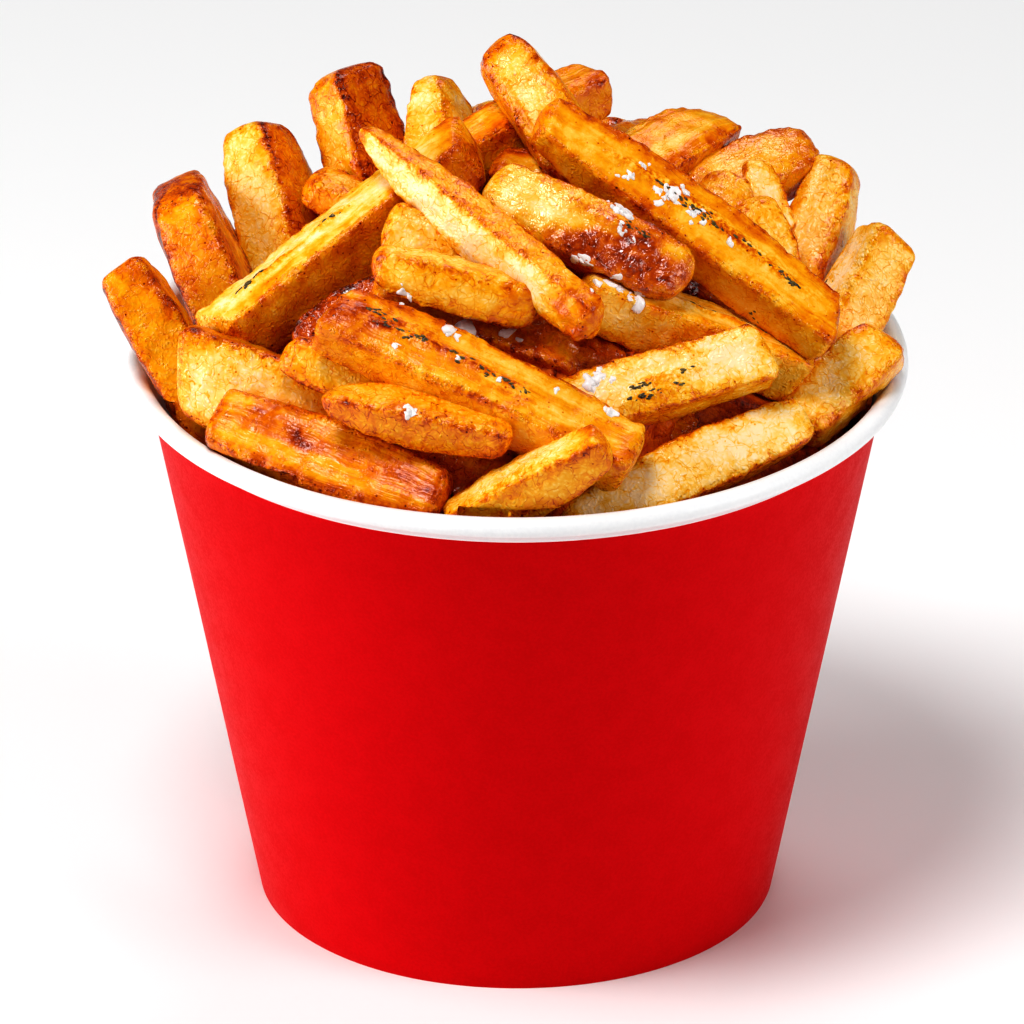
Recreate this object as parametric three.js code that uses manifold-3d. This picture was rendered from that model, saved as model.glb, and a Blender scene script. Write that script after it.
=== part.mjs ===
import * as THREE from 'three';
import { mergeVertices } from 'three/addons/utils/BufferGeometryUtils.js';
import Module from 'manifold-3d';

// A round paper tub heaped with fried plantain strips, in millimetres, +Z up.
// The origin is the centre of the tub's foot, and -Y is the side that faces the viewer.

// Tub
const tubHeight = 134;
const rimRadius = 90;
const rimRoll = 2.4;
const footRadius = 59.6;
const shoulderRadius = 85.2;
const shoulderHeight = tubHeight - 2 * rimRoll;
const wrapThickness = 0.6;
const cupThickness = 0.9;
const gap = 0.3;
const footRecess = 8;
const discThickness = 1.2;
const wallSides = 72;
const rollSteps = 6;

// Heap
const coreClearance = 1.5;
const coreShoulder = 122;
const coreRadius = 77;
const coreTop = 172;
const coreSides = 24;
const domeSteps = 6;
const rimClearance = 0.5;

// Strip: a bar of eight sides whose corners are cut back by bevel, with rounded ends of tipLength.
const stripSides = 8;
const stripBands = 5;
const bevel = 0.3;
const tipLength = 4;
const tipNarrowing = 0.72;
const taperReach = 0.45;

// Strips that show from the front, by hand: the middle of each end, the width of the cut face,
// the thickness under it, how far that face is turned towards the viewer, and what each end
// narrows to.
const strips = [
  // standing along the back, from left to right, from the outer end down into the heap
  { from: [-90, -8, 159], to: [-67, -25, 122], wide: 15, thick: 14, roll: -40, tips: [0.8, 0.9] },
  { from: [-79, 22, 166], to: [-56, -8, 126], wide: 22, thick: 15, roll: -45, tips: [0.8, 0.9] },
  { from: [-60, 38, 174], to: [-49, 4, 137], wide: 18, thick: 17, roll: -40, tips: [0.7, 0.9] },
  { from: [-40, 42, 186], to: [-30, 16, 146], wide: 18, thick: 14, roll: -30, tips: [0.85, 0.95] },
  { from: [-19, 34, 188], to: [-12, 8, 156], wide: 18, thick: 13, roll: -45, tips: [0.45, 0.95] },
  { from: [-5, 21, 202], to: [16, -5, 180], wide: 15, thick: 13, roll: 35, tips: [0.75, 0.95] },
  { from: [25, 38, 171], to: [22, 20, 150], wide: 10, thick: 10, roll: 0, tips: [0.7, 0.9] },
  { from: [54, 27, 170], to: [61, 11, 143], wide: 11, thick: 10, roll: 0, tips: [0.6, 0.95] },
  { from: [53, 12, 167], to: [62, -4, 140], wide: 14, thick: 12, roll: 0, tips: [0.7, 0.95] },
  { from: [75, 33, 167], to: [60, 4, 134], wide: 14, thick: 12, roll: 0, tips: [0.7, 0.95] },
  { from: [86, 12, 158], to: [65, -12, 126], wide: 16, thick: 14, roll: 30, tips: [0.85, 0.95] },
  // lying over the back
  { from: [-17, 5, 177], to: [19, 30, 188], wide: 14, thick: 13, roll: 0, tips: [0.8, 0.8] },
  { from: [24, 18, 167], to: [48, 45, 170], wide: 17, thick: 13, roll: 10, tips: [0.9, 0.5] },
  { from: [38, 22, 162], to: [69, 38, 166], wide: 15, thick: 13, roll: 20, tips: [0.9, 0.75] },
  { from: [-48, 18, 169], to: [-28, 10, 160], wide: 12, thick: 9, roll: 0, tips: [0.8, 0.9] },
  { from: [40, 18, 166], to: [54, 12, 163], wide: 11, thick: 10, roll: 20, tips: [0.8, 0.8] },
  { from: [-6, 2, 179], to: [26, -7, 172], wide: 13, thick: 10, roll: 20, tips: [0.8, 0.8] },
  // lying over the top and the front
  { from: [-67, -31, 150], to: [-9, -3, 187], wide: 17, thick: 15, roll: 8, tips: [0.85, 0.85] },
  { from: [-36, -10, 194], to: [18, -57, 167], wide: 13, thick: 9, roll: 85, tips: [0.3, 0.8] },
  { from: [5, -8, 197], to: [72, -31, 153], wide: 17, thick: 12, roll: 18, tips: [0.6, 0.85] },
  { from: [-7, -24, 187], to: [39, -38, 169], wide: 16, thick: 12, roll: 40, tips: [0.75, 0.8] },
  { from: [-33, -44, 177], to: [6, -47, 167], wide: 12, thick: 10, roll: 80, tips: [0.6, 0.9] },
  { from: [-43, -50, 167], to: [27, -73, 141], wide: 17, thick: 13, roll: 20, tips: [0.85, 0.85] },
  { from: [-33, -38, 166], to: [25, -44, 148], wide: 14, thick: 12, roll: 20, tips: [0.8, 0.8] },
  { from: [-44, -63, 152], to: [-1, -71, 146], wide: 13, thick: 11, roll: 5, tips: [0.4, 0.85] },
  { from: [-53, -44, 155], to: [-29, -52, 149], wide: 12, thick: 10, roll: 70, tips: [0.7, 0.85] },
  { from: [-77, -34, 147], to: [-40, -48, 137], wide: 22, thick: 9, roll: 75, tips: [0.85, 0.7] },
  { from: [-69, -46, 139], to: [-16, -73, 130], wide: 19, thick: 12, roll: 45, tips: [0.75, 0.8] },
  { from: [-50, -38, 157], to: [-28, -30, 169], wide: 14, thick: 10, roll: 45, tips: [0.8, 0.8] },
  { from: [-30, -26, 178], to: [-8, -32, 170], wide: 13, thick: 10, roll: 60, tips: [0.8, 0.8] },
  { from: [-28, -57, 136], to: [2, -66, 130], wide: 14, thick: 10, roll: 50, tips: [0.9, 0.9] },
  { from: [-15, -76, 126], to: [21, -80, 149], wide: 13, thick: 12, roll: 5, tips: [0.7, 0.7] },
  { from: [9, -60, 147], to: [57, -45, 155], wide: 15, thick: 11, roll: 45, tips: [0.85, 0.95] },
  { from: [14, -40, 167], to: [65, -28, 142], wide: 14, thick: 14, roll: 5, tips: [0.85, 0.9] },
  { from: [10, -75, 125], to: [66, -46, 139], wide: 14, thick: 11, roll: 45, tips: [0.6, 0.75] },
  { from: [62, -34, 130], to: [85, -13, 144], wide: 15, thick: 12, roll: 35, tips: [0.9, 0.85] },
  { from: [26, -52, 137], to: [42, -50, 134], wide: 11, thick: 9, roll: 30, tips: [0.7, 0.8] },
];

// Strips that the front view hides, in the same way: the back of the heap, and what lies under
// its top.
const backStrips = [
  { from: [-66, 46, 137], to: [-24, 72, 135], wide: 16, thick: 12, roll: -45, tips: [0.8, 0.8] },
  { from: [-22, 76, 132], to: [34, 70, 141], wide: 17, thick: 12, roll: -50, tips: [0.7, 0.85] },
  { from: [30, 72, 133], to: [72, 38, 141], wide: 16, thick: 12, roll: -45, tips: [0.8, 0.7] },
  { from: [74, 30, 132], to: [76, -8, 120], wide: 14, thick: 12, roll: -30, tips: [0.8, 0.8] },
  { from: [-58, 34, 147], to: [-6, 60, 150], wide: 16, thick: 13, roll: -25, tips: [0.85, 0.7] },
  { from: [-30, 60, 152], to: [26, 48, 165], wide: 15, thick: 12, roll: -35, tips: [0.6, 0.85] },
  { from: [4, 60, 150], to: [56, 46, 151], wide: 17, thick: 12, roll: -30, tips: [0.85, 0.8] },
  { from: [50, 50, 141], to: [74, 14, 143], wide: 14, thick: 12, roll: -30, tips: [0.8, 0.8] },
  { from: [-40, 34, 158], to: [6, 44, 161], wide: 14, thick: 12, roll: -20, tips: [0.8, 0.75] },
  { from: [-2, 34, 177], to: [-12, 70, 153], wide: 15, thick: 11, roll: 0, tips: [0.8, 0.7] },
  { from: [20, 26, 170], to: [38, 60, 158], wide: 14, thick: 12, roll: 10, tips: [0.85, 0.75] },
  { from: [-62, -14, 146], to: [-38, 14, 154], wide: 15, thick: 12, roll: 0, tips: [0.8, 0.85] },
  { from: [-46, 2, 158], to: [-12, 0, 170], wide: 15, thick: 12, roll: -20, tips: [0.8, 0.8] },
  { from: [-4, 26, 168], to: [28, 14, 172], wide: 14, thick: 12, roll: -35, tips: [0.7, 0.85] },
  { from: [8, 6, 173], to: [48, 2, 163], wide: 15, thick: 12, roll: -10, tips: [0.85, 0.8] },
  { from: [-2, 26, 164], to: [40, 34, 152], wide: 15, thick: 12, roll: -30, tips: [0.8, 0.8] },
  { from: [20, 14, 160], to: [60, 24, 146], wide: 15, thick: 12, roll: -15, tips: [0.85, 0.8] },
  { from: [-24, -14, 167], to: [18, -14, 171], wide: 14, thick: 12, roll: 10, tips: [0.8, 0.8] },
  { from: [24, -6, 158], to: [62, -2, 138], wide: 15, thick: 12, roll: 0, tips: [0.8, 0.85] },
  { from: [-75, 4, 124], to: [-58, 44, 127], wide: 16, thick: 12, roll: 30, tips: [0.8, 0.8] },
  { from: [-68, 8, 135], to: [-46, 34, 140], wide: 15, thick: 12, roll: 20, tips: [0.85, 0.8] },
  { from: [36, -14, 156], to: [64, -16, 137], wide: 15, thick: 12, roll: 10, tips: [0.8, 0.8] },
  { from: [-34, 61, 142], to: [4, 66, 141], wide: 13, thick: 10, roll: -40, tips: [0.8, 0.8] },
];

// Salt crystals that show, by hand: the middle and the width of each.
const salt = [
  [29, -16.5, 188.5, 2.4],
  [26, -19.5, 188, 2.4],
  [32.5, -21, 184.5, 2.4],
  [36, -20, 183.5, 3.2],
  [38.5, -18, 183.5, 2],
  [32.5, -23.5, 183, 2],
  [36.5, -22, 182, 2],
  [40, -23, 179.5, 2.4],
  [42, -22, 179.5, 1.8],
  [42.5, -24.5, 178, 1.4],
  [22.5, -30.5, 184.5, 2.8],
  [24.5, -31, 184, 3.4],
  [23.5, -35.5, 182, 2.4],
  [26.5, -37, 179.5, 1.2],
  [48.5, -26.5, 174, 2],
  [14, -40, 173.5, 4.2],
  [20.5, -41, 171, 3.2],
  [23, -42, 170, 2],
  [27.5, -41.5, 168, 2.4],
  [25.5, -43.5, 167.5, 1.8],
  [27.5, -43.5, 166.5, 2.6],
  [17, -52.5, 174, 1.2],
  [-26, -49.5, 172, 2.6],
  [-15, -56, 166, 2.8],
  [-11.5, -48, 162.5, 4],
  [-2, -47, 161, 3],
  [-27.5, -62, 165, 2],
  [-13.5, -63, 162, 2],
  [-4, -66.5, 158.5, 1.4],
  [-23.5, -72.5, 154, 2.8],
  [9, -65.5, 155.5, 1.8],
  [16.5, -59.5, 154.5, 3.4],
  [18.5, -58.5, 155, 2.8],
  [21.5, -58.5, 154.5, 1.8],
  [22, -68, 151.5, 2.4],
  [74.5, 16.5, 153.5, 1.4],
];

const wasm = await Module();
wasm.setup();

const cupColour = new THREE.Color(0.94, 0.94, 0.93);
const wrapColour = new THREE.Color(0.72, 0.01, 0.03);
const plantainColour = new THREE.Color(0.85, 0.42, 0.05);

// A closed geometry as a solid that can be joined and cut.
function toSolid(geometry) {
  const bare = geometry.clone();
  bare.deleteAttribute('normal');
  bare.deleteAttribute('uv');
  const merged = mergeVertices(bare, 1e-3);
  const vertProperties = merged.attributes.position.array;
  const triVerts = new Uint32Array(merged.index.array);
  return new wasm.Manifold(new wasm.Mesh({ numProp: 3, vertProperties, triVerts }));
}

// The largest shell of a solid, so that hollows sealed between strips are filled.
function toGeometry(solid) {
  const mesh = solid.getMesh();
  const shell = largestShell(mesh.triVerts, mesh.numVert);
  const geometry = new THREE.BufferGeometry();
  geometry.setAttribute('position', new THREE.BufferAttribute(mesh.vertProperties, mesh.numProp));
  geometry.setIndex(shell);
  geometry.computeVertexNormals();
  return geometry;
}

function largestShell(triVerts, vertexCount) {
  const parent = Array.from({ length: vertexCount }, (_, i) => i);
  const find = (i) => {
    while (parent[i] !== i) {
      parent[i] = parent[parent[i]];
      i = parent[i];
    }
    return i;
  };
  for (let i = 0; i < triVerts.length; i += 3) {
    parent[find(triVerts[i])] = find(triVerts[i + 1]);
    parent[find(triVerts[i + 1])] = find(triVerts[i + 2]);
  }
  const shells = new Map();
  for (let i = 0; i < triVerts.length; i += 3) {
    const key = find(triVerts[i]);
    if (!shells.has(key)) shells.set(key, []);
    shells.get(key).push(triVerts[i], triVerts[i + 1], triVerts[i + 2]);
  }
  return [...shells.values()].reduce((a, b) => (a.length >= b.length ? a : b));
}

// A body of revolution about +Z from a profile of [radius, height] that runs up its outer side.
function turned(profile, sides) {
  const points = profile.map(([radius, height]) => new THREE.Vector2(radius, height));
  return new THREE.LatheGeometry(points, sides).rotateX(Math.PI / 2);
}

// The radius of the tub's outer wall at a height.
function wallRadius(height) {
  return footRadius + ((shoulderRadius - footRadius) * height) / shoulderHeight;
}

// Points of the rolled rim's circle, from one angle in degrees to another.
function rollArc(radius, fromAngle, toAngle) {
  const centreRadius = rimRadius - rimRoll;
  const centreHeight = tubHeight - rimRoll;
  return Array.from({ length: rollSteps + 1 }, (_, i) => {
    const angle = THREE.MathUtils.degToRad(fromAngle + ((toAngle - fromAngle) * i) / rollSteps);
    return [centreRadius + radius * Math.cos(angle), centreHeight + radius * Math.sin(angle)];
  });
}

const cupOuter = (height) => wallRadius(height) - wrapThickness - gap;
const cupInner = (height) => cupOuter(height) - cupThickness;

// The white cup: a thin wall that ends in a roll turned outwards.
function makeCup() {
  const neck = shoulderHeight;
  const profile = [
    [cupInner(0), 0],
    [cupOuter(0), 0],
    [cupOuter(neck), neck],
    ...rollArc(rimRoll, -100, 180),
    [cupInner(neck), neck - rimRoll],
    [cupInner(0), 0],
  ];
  return turned(profile, wallSides);
}

// The coloured wrap round the cup, from the foot to just under the roll.
function makeWrap() {
  const top = shoulderHeight - gap;
  const profile = [
    [wallRadius(0) - wrapThickness, 0],
    [wallRadius(0), 0],
    [wallRadius(top), top],
    [wallRadius(top) - wrapThickness, top],
    [wallRadius(0) - wrapThickness, 0],
  ];
  return turned(profile, wallSides);
}

// The flat bottom of the tub, let in above the foot.
function makeDisc() {
  const bottom = footRecess;
  const top = footRecess + discThickness;
  const profile = [
    [0, bottom],
    [cupInner(bottom) - gap, bottom],
    [cupInner(top) - gap, top],
    [0, top],
  ];
  return turned(profile, wallSides);
}

// The inside of the heap, which the strips that show lie on.
function makeCore() {
  const bottom = footRecess + discThickness + gap;
  const dome = Array.from({ length: domeSteps }, (_, i) => {
    const reach = 1 - (i + 1) / domeSteps;
    return [coreRadius * reach, coreTop - (coreTop - coreShoulder) * reach * reach];
  });
  const profile = [
    [0, bottom],
    [cupInner(bottom) - coreClearance, bottom],
    [coreRadius, coreShoulder],
    ...dome,
  ];
  return turned(profile, coreSides);
}

// The wall and roll with room round them, which the heap is kept clear of.
function makeKeepOut() {
  const profile = [
    [cupInner(0) - rimClearance, 0],
    [rimRadius + rimClearance, 0],
    [rimRadius + rimClearance, shoulderHeight],
    ...rollArc(rimRoll + rimClearance, 0, 180),
    [cupInner(shoulderHeight) - rimClearance, shoulderHeight - rimRoll],
    [cupInner(0) - rimClearance, 0],
  ];
  return turned(profile, wallSides);
}

// One strip between the middles of its ends. At roll 0 the cut face looks as far up as it can.
function makeStrip({ from, to, wide, thick, roll, tips }) {
  const start = new THREE.Vector3(...from);
  const along = new THREE.Vector3(...to).sub(start);
  const length = along.length();
  const axis = along.clone().normalize();
  const upright = new THREE.Vector3(0, 0, 1).projectOnPlane(axis).normalize();
  const face = upright.applyAxisAngle(axis, THREE.MathUtils.degToRad(roll));
  const side = new THREE.Vector3().crossVectors(axis, face);
  const bar = new THREE.CylinderGeometry(1, 1, 1, stripSides, stripBands, false, Math.PI / stripSides);
  const stations = [0, tipLength / length, 0.35, 0.65, 1 - tipLength / length, 1];
  const place = bar.attributes.position;
  for (let i = 0; i < place.count; i++) {
    const t = stations[Math.round((place.getY(i) + 0.5) * stripBands)];
    const narrow = Math.min(taper(t, tips[0]), taper(1 - t, tips[1]));
    const end = t === 0 || t === 1 ? tipNarrowing : 1;
    const [across, up] = corner(place.getX(i), place.getZ(i));
    const point = start.clone().addScaledVector(along, t);
    point.addScaledVector(side, (across * narrow * end * wide) / 2);
    point.addScaledVector(face, (up * narrow * end * thick) / 2);
    place.setXYZ(i, point.x, point.y, point.z);
  }
  return bar;
}

// How wide a strip is at a share of its length, where its tip is narrowed to tip.
function taper(share, tip) {
  return tip + (1 - tip) * Math.sin((Math.min(1, share / taperReach) * Math.PI) / 2);
}

// The bevelled square's point for a point of the unit circle.
function corner(x, z) {
  if (Math.hypot(x, z) < 0.5) return [0, 0];
  if (Math.abs(x) > Math.abs(z)) return [Math.sign(x), Math.sign(z) * (1 - bevel)];
  return [Math.sign(x) * (1 - bevel), Math.sign(z)];
}

// One crystal of salt, turned by its number in the list.
function makeCrystal([x, y, z, width], index) {
  const crystal = new THREE.IcosahedronGeometry(width / 2, 0);
  crystal.scale(1.1, 0.9, 0.7);
  crystal.rotateX(index);
  crystal.rotateZ(2 * index);
  return crystal.translate(x, y, z);
}

function makeHeap() {
  const pieces = [...strips, ...backStrips].map(makeStrip);
  const crystals = salt.map(makeCrystal);
  const joined = pieces.reduce((heap, piece) => heap.add(toSolid(piece)), toSolid(makeCore()));
  const cleared = joined.subtract(toSolid(makeKeepOut()));
  const salted = crystals.reduce((heap, crystal) => heap.add(toSolid(crystal)), cleared);
  return toGeometry(salted);
}

function part(name, geometry, color, roughness) {
  const material = new THREE.MeshStandardMaterial({ color, roughness, metalness: 0 });
  const mesh = new THREE.Mesh(geometry, material);
  mesh.name = name;
  return mesh;
}

const tub = new THREE.Group();
tub.add(part('cup', makeCup(), cupColour, 0.55));
tub.add(part('outer_wrap', makeWrap(), wrapColour, 0.5));
tub.add(part('base_disc', makeDisc(), cupColour, 0.6));

const filledTub = new THREE.Group();
filledTub.add(tub);
filledTub.add(part('plantain_heap', makeHeap(), plantainColour, 0.45));

export default filledTub;
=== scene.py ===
import itertools
import math

import bpy
import numpy as np
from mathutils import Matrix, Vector
from mathutils.bvhtree import BVHTree


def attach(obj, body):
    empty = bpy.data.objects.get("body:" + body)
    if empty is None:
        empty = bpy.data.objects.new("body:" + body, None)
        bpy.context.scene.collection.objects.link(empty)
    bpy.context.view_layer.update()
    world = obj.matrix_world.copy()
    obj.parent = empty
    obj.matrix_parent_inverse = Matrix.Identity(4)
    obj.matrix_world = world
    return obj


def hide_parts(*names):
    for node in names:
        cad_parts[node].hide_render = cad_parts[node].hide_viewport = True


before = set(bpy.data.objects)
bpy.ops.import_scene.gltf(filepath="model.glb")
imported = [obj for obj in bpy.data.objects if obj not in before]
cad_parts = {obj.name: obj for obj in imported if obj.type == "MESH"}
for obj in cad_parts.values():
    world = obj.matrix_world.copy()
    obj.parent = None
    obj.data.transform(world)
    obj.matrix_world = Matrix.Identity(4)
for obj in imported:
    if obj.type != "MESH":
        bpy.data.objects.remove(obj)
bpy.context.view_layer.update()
mm = 0.001

# The tub, in millimetres. It stands on z = 0 and -Y faces the camera.
tub = dict(
    height=134, rimRadius=90, rimRoll=2.4, footRadius=59.6, shoulderRadius=85.2,
    wrapThickness=0.6, glueGap=0.3, cupThickness=0.9, footRecess=8, discThickness=1.2,
)
shoulderHeight = tub["height"] - 2 * tub["rimRoll"]


def wallRadius(height):  # the outside of the wrap
    return tub["footRadius"] + (tub["shoulderRadius"] - tub["footRadius"]) * height / shoulderHeight


def cupOuter(height):
    return wallRadius(height) - tub["wrapThickness"] - tub["glueGap"]


def cupInner(height):
    return cupOuter(height) - tub["cupThickness"]


def smoothStep(low, high, value):
    share = np.clip((value - low) / (high - low), 0, 1)
    return share * share * (3 - 2 * share)


def cellValues(cells, seed):  # a repeatable number from -1 to 1 for each whole-number cell
    mask = np.uint64(0xFFFFFFFF)
    mixed = np.uint64((seed * 2654435761) & 0xFFFFFFFF)
    for axis, factor in enumerate((73856093, 19349663, 83492791)):
        mixed = mixed ^ (cells[..., axis].astype(np.int64).astype(np.uint64) * np.uint64(factor))
    mixed = mixed & mask
    for shift, factor in ((15, 2246822519), (13, 3266489917)):
        mixed = ((mixed ^ (mixed >> np.uint64(shift))) * np.uint64(factor)) & mask
    mixed = mixed ^ (mixed >> np.uint64(16))
    return mixed.astype(np.float64) / 2147483647.5 - 1


def softNoise(points, seed):  # smooth noise from about -1 to 1, one cell to a unit
    base = np.floor(points)
    inside = points - base
    fade = inside ** 3 * (inside * (inside * 6 - 15) + 10)
    total = 0
    for corner in itertools.product((0, 1), repeat=3):
        corner = np.array(corner)
        weight = np.prod(np.where(corner, fade, 1 - fade), axis=-1)
        slope = np.stack([cellValues(base + corner, seed + k) for k in range(3)], axis=-1)
        total = total + weight * np.sum(slope * (inside - corner), axis=-1)
    return total * 1.3


def layeredNoise(points, seed, layers=3):
    return sum(softNoise(points * 2 ** k, seed + 7 * k) / 2 ** k for k in range(layers))


def makePiece(name, points, faces, attributes=None):
    mesh = bpy.data.meshes.new(name)
    mesh.from_pydata((np.asarray(points) * mm).tolist(), [], faces)
    for key, values in (attributes or {}).items():
        vector = values.ndim == 2
        layer = mesh.attributes.new(key, "FLOAT_VECTOR" if vector else "FLOAT", "POINT")
        layer.data.foreach_set("vector" if vector else "value", values.astype(np.float32).ravel())
    mesh.polygons.foreach_set("use_smooth", [True] * len(mesh.polygons))
    mesh.update()
    piece = bpy.data.objects.new(name, mesh)
    bpy.context.scene.collection.objects.link(piece)
    return piece


def gridFaces(rows, columns, wrapRows=False):
    faces = []
    for row in range(rows if wrapRows else rows - 1):
        for column in range(columns):
            nextRow, nextColumn = (row + 1) % rows, (column + 1) % columns
            faces.append((row * columns + column, row * columns + nextColumn,
                          nextRow * columns + nextColumn, nextRow * columns + column))
    return faces


def closedForm(grid, firstTip, lastTip):  # points and faces of a grid whose ends close on two tips
    rows, columns = grid.shape[:2]
    count = rows * columns
    faces = gridFaces(rows, columns)
    for column in range(columns):
        after = (column + 1) % columns
        faces.append((count, after, column))
        faces.append((count + 1, count - columns + column, count - columns + after))
    return np.vstack([grid.reshape(-1, 3), firstTip, lastTip]), faces


def shifted(faces, base):
    return [tuple(base + i for i in face) for face in faces]


def gridNormals(grid):  # outward normals of a grid whose columns close on themselves
    along = np.gradient(grid, axis=0)
    around = np.roll(grid, -1, axis=1) - np.roll(grid, 1, axis=1)
    normals = np.cross(around, along)
    return normals / np.maximum(np.linalg.norm(normals, axis=-1, keepdims=True), 1e-9)


def dress(piece, body, nodes, material):
    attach(piece, body)
    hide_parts(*nodes)
    piece.data.materials.append(material)


def srgb(red, green, blue):  # screen colour 0 to 255 as a shader colour
    def linear(value):
        value /= 255
        return value / 12.92 if value <= 0.04045 else ((value + 0.055) / 1.055) ** 2.4
    return (linear(red), linear(green), linear(blue), 1)


def connect(tree, sockets, values):  # a value is another node's socket or a plain one
    for key, value in values.items():
        if isinstance(value, bpy.types.NodeSocket):
            tree.links.new(value, sockets[key])
        else:
            sockets[key].default_value = value


def addNode(tree, kind, inputs=None, **settings):
    node = tree.nodes.new(kind)
    for key, value in settings.items():
        setattr(node, key, value)
    connect(tree, node.inputs, inputs or {})
    return node


def calc(tree, operation, *values, clamp=False):
    inputs = dict(enumerate(values))
    return addNode(tree, "ShaderNodeMath", inputs, operation=operation, use_clamp=clamp).outputs[0]


def vectorCalc(tree, operation, first, second):
    inputs = {0: first, "Scale" if operation == "SCALE" else 1: second}
    return addNode(tree, "ShaderNodeVectorMath", inputs, operation=operation).outputs[0]


def remap(tree, value, fromLow, fromHigh, toLow=0.0, toHigh=1.0, kind="SMOOTHSTEP"):
    inputs = {"Value": value, "From Min": fromLow, "From Max": fromHigh, "To Min": toLow, "To Max": toHigh}
    return addNode(tree, "ShaderNodeMapRange", inputs, interpolation_type=kind).outputs["Result"]


def blendColour(tree, share, first, second):
    inputs = {0: share, 6: first, 7: second}
    return addNode(tree, "ShaderNodeMix", inputs, data_type="RGBA", clamp_factor=True).outputs[2]


def noiseAt(tree, place, scale, detail=2.0, roughness=0.5, distortion=0.0):
    inputs = {"Vector": place, "Scale": scale, "Detail": detail, "Roughness": roughness,
              "Distortion": distortion}
    return addNode(tree, "ShaderNodeTexNoise", inputs).outputs[0]


def cellsAt(tree, place, scale, feature="F1"):
    inputs = {"Vector": place, "Scale": scale}
    return addNode(tree, "ShaderNodeTexVoronoi", inputs, feature=feature).outputs["Distance"]


def attributeOf(tree, name, output="Fac"):
    node = addNode(tree, "ShaderNodeAttribute", attribute_name=name, attribute_type="GEOMETRY")
    return node.outputs[output]


def placeOf(tree):  # the surface's own place, in millimetres
    return vectorCalc(tree, "SCALE", addNode(tree, "ShaderNodeTexCoord").outputs["Object"], 1000.0)


def bumpOf(tree, height, distance, strength=1.0):
    inputs = {"Height": height, "Strength": strength, "Distance": distance}
    return addNode(tree, "ShaderNodeBump", inputs).outputs["Normal"]


def newGroup(name, inputs, outputs):  # an input without a value is a vector
    tree = bpy.data.node_groups.new(name, "ShaderNodeTree")
    for label, value in inputs.items():
        kind = "NodeSocketVector" if value is None else "NodeSocketFloat"
        socket = tree.interface.new_socket(label, in_out="INPUT", socket_type=kind)
        if value is not None:
            socket.default_value = value
    for label in outputs:
        kind = "NodeSocketColor" if label == "Color" else "NodeSocketFloat"
        tree.interface.new_socket(label, in_out="OUTPUT", socket_type=kind)
    return tree, tree.nodes.new("NodeGroupInput").outputs, tree.nodes.new("NodeGroupOutput").inputs


def useGroup(tree, group, inputs):
    return addNode(tree, "ShaderNodeGroup", inputs, node_tree=group).outputs


def newMaterial(name, shader):
    material = bpy.data.materials.new(name)
    material.use_nodes = True
    tree = material.node_tree
    sockets = tree.nodes["Principled BSDF"].inputs
    connect(tree, sockets, shader)
    return material, tree, sockets


# Blisters: the fine cells and pits that hot oil raises on a cut or peeled face.
blisterForm = dict(
    shiftScale=0.35, shiftReach=4.0, faintScale=0.45, faintest=0.15, crackWidth=0.075,
    domesPerCell=2.3, domeReach=0.7, domeHeight=0.6, crackDepth=0.3,
)


def makeBlisterGroup():
    form = blisterForm
    tree, given, out = newGroup("Oil blisters", {"Place": None, "Cell": 2.4, "Warp": 0.8},
                                ["Height", "Crack", "Dome"])
    place = given["Place"]
    shift = addNode(tree, "ShaderNodeTexNoise", {"Vector": place, "Scale": form["shiftScale"], "Detail": 1.0})
    centred = vectorCalc(tree, "ADD", shift.outputs["Color"], (-0.5, -0.5, -0.5))
    push = vectorCalc(tree, "SCALE", centred, calc(tree, "MULTIPLY", given["Warp"], form["shiftReach"]))
    moved = vectorCalc(tree, "ADD", place, push)
    size = calc(tree, "DIVIDE", 1.0, given["Cell"])
    edges = cellsAt(tree, moved, size, "DISTANCE_TO_EDGE")
    domes = cellsAt(tree, moved, calc(tree, "MULTIPLY", size, form["domesPerCell"]))
    faint = remap(tree, noiseAt(tree, place, form["faintScale"], 1.0), 0.35, 0.65, form["faintest"], 1.0)
    crack = calc(tree, "MULTIPLY", remap(tree, edges, 0.0, form["crackWidth"], 1.0, 0.0), faint)
    dome = remap(tree, domes, 0.0, form["domeReach"], 1.0, 0.0)
    raised = calc(tree, "MULTIPLY", dome, form["domeHeight"])
    height = calc(tree, "SUBTRACT", raised, calc(tree, "MULTIPLY", crack, form["crackDepth"]))
    connect(tree, out, {"Height": height, "Crack": crack, "Dome": dome})
    return tree


# Fibres: long streaks that run with the strip, as the fruit's flesh does.
fibreForm = dict(wobbleScale=0.16, wobbleReach=2.5, bandScale=0.3, bandShare=0.6)


def makeFibreGroup():
    form = fibreForm
    tree, given, out = newGroup("Flesh fibres", {"Grain": None, "Length": 22.0, "Width": 1.3},
                                ["Height", "Streak"])
    along = calc(tree, "DIVIDE", 1.0, given["Length"])
    across = calc(tree, "DIVIDE", 1.0, given["Width"])
    squeeze = addNode(tree, "ShaderNodeCombineXYZ", {"X": along, "Y": across, "Z": 1.0}).outputs[0]
    wobble = noiseAt(tree, given["Grain"], form["wobbleScale"], 1.0)
    sideways = calc(tree, "MULTIPLY", wobble, form["wobbleReach"])
    lean = addNode(tree, "ShaderNodeCombineXYZ", {"X": 0.0, "Y": sideways, "Z": 0.0}).outputs[0]
    place = vectorCalc(tree, "MULTIPLY", vectorCalc(tree, "ADD", given["Grain"], lean), squeeze)
    streak = noiseAt(tree, place, 1.0, 2.0, 0.6)
    band = calc(tree, "MULTIPLY", noiseAt(tree, place, form["bandScale"], 1.0), form["bandShare"])
    both = calc(tree, "MULTIPLY_ADD", streak, 1 - form["bandShare"], band)
    connect(tree, out, {"Height": remap(tree, streak, 0.3, 0.7), "Streak": remap(tree, both, 0.38, 0.62)})
    return tree


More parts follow.
